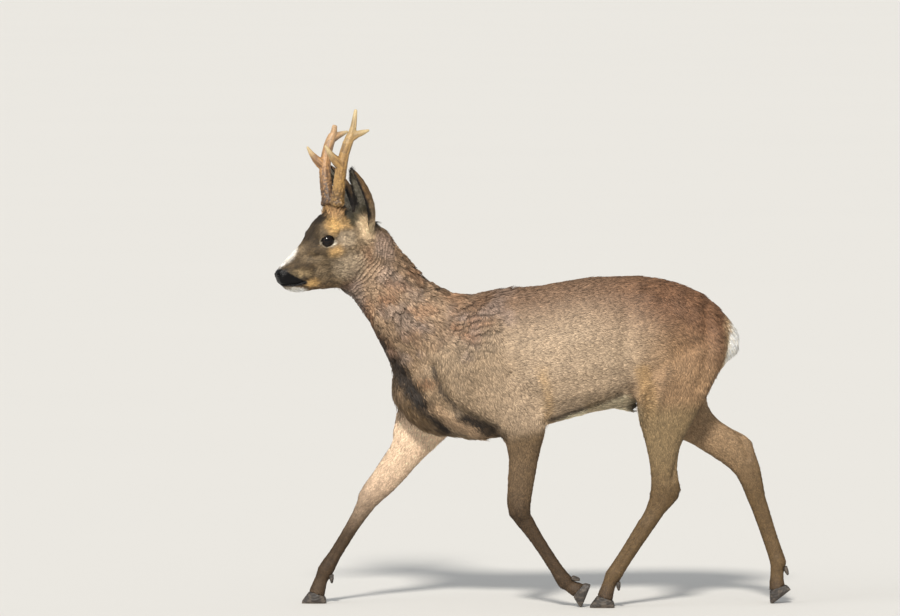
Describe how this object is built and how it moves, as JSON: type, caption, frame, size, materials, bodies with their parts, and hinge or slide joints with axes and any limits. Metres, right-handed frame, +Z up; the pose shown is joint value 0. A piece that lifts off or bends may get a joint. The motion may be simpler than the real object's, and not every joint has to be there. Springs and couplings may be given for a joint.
{
  "type": "roe deer",
  "caption": "Life-size still model of a roe buck in mid stride, head turned a little to its left, with forked antlers and cloven hooves.",
  "frame": {"origin": "on the floor, under the middle of the animal's bounding box", "axes": "+Z up; the buck faces -X, so +X is towards its rump and the long way; its left side is towards -Y, the short way"},
  "size_m": [1.0346, 0.225, 0.996],
  "materials": {
    "coat": "short dense hair, moulting on the neck",
    "antler": "pearled bone, polished at the points",
    "hoof": "dark horn, satin",
    "eye": "wet dark eye"
  },
  "bodies": {
    "root": {"foreleg_left": "coat", "foreleg_right": "coat", "hindleg_left": "coat", "hindleg_right": "coat", "head": "coat", "neck": "coat", "trunk": "coat", "tail": "coat", "eye_left": "eye", "ear_left": "coat", "antler_left_beam": "antler", "antler_left_front_tine": "antler", "antler_left_top_tine": "antler", "antler_left_rear_tine": "antler", "eye_right": "eye", "ear_right": "coat", "antler_right_beam": "antler", "antler_right_front_tine": "antler", "antler_right_top_tine": "antler", "antler_right_rear_tine": "antler", "foreleg_left_hoof_inner": "hoof", "foreleg_left_hoof_outer": "hoof", "foreleg_left_dewclaw_inner": "hoof", "foreleg_left_dewclaw_outer": "hoof", "foreleg_right_hoof_inner": "hoof", "foreleg_right_hoof_outer": "hoof", "foreleg_right_dewclaw_inner": "hoof", "foreleg_right_dewclaw_outer": "hoof", "hindleg_left_hoof_inner": "hoof", "hindleg_left_hoof_outer": "hoof", "hindleg_left_dewclaw_inner": "hoof", "hindleg_left_dewclaw_outer": "hoof", "hindleg_right_hoof_inner": "hoof", "hindleg_right_hoof_outer": "hoof", "hindleg_right_dewclaw_inner": "hoof", "hindleg_right_dewclaw_outer": "hoof"}
  },
  "joints": []
}
